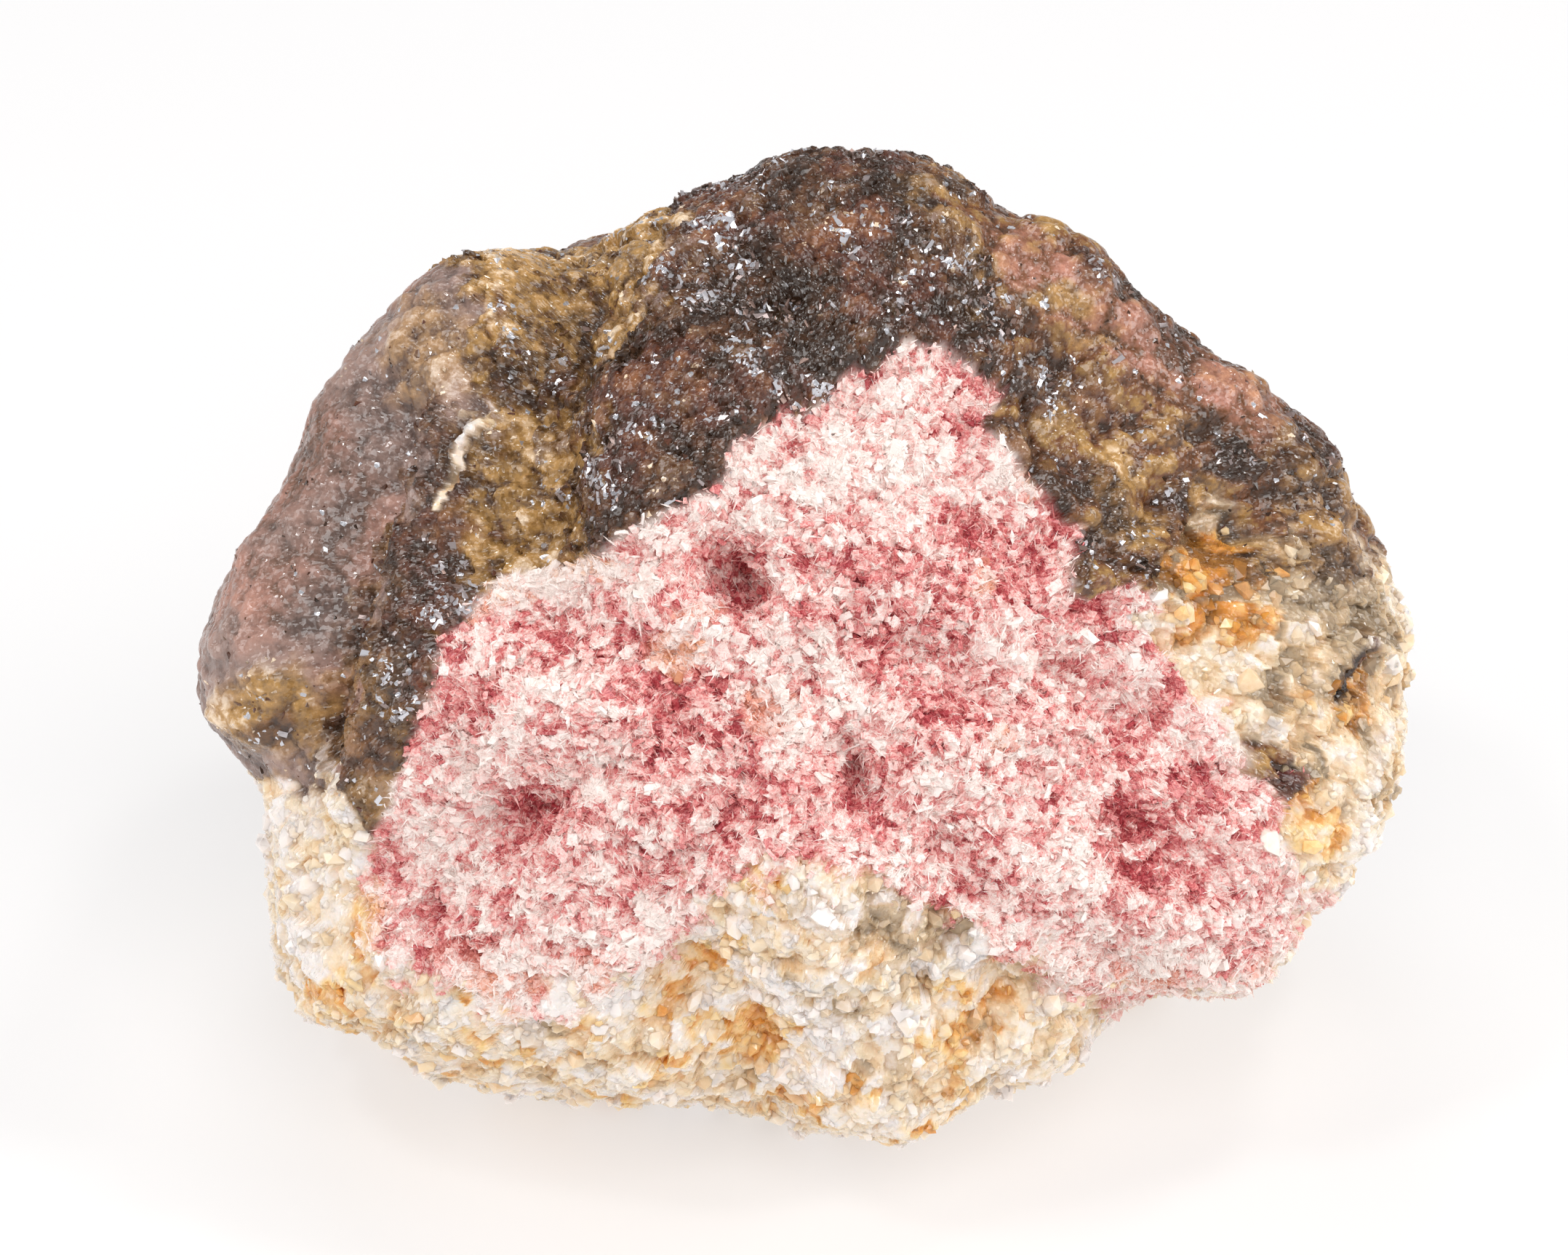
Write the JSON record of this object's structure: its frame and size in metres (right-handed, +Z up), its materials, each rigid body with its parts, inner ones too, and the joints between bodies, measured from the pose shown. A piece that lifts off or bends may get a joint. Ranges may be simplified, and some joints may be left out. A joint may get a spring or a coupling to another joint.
{
  "type": "rhodonite specimen",
  "caption": "Rough hand specimen of rhodonite: a lumpy stone with a pink sugary broken face, a dark weathered crust and pale quartz below.",
  "frame": {"origin": "under the middle of the stone's box, at the height of the flat that it rests on", "axes": "+Z up, +X along the stone's width, to the right as seen from in front of the pink face, which looks towards -Y and up"},
  "size_m": [0.0454, 0.035, 0.0351],
  "materials": {
    "stone": "sugary pink broken face, dark weathered crust over the top and back, pale and honey-stained quartz below"
  },
  "bodies": {
    "root": {"rhodonite_stone": "stone"}
  },
  "joints": []
}
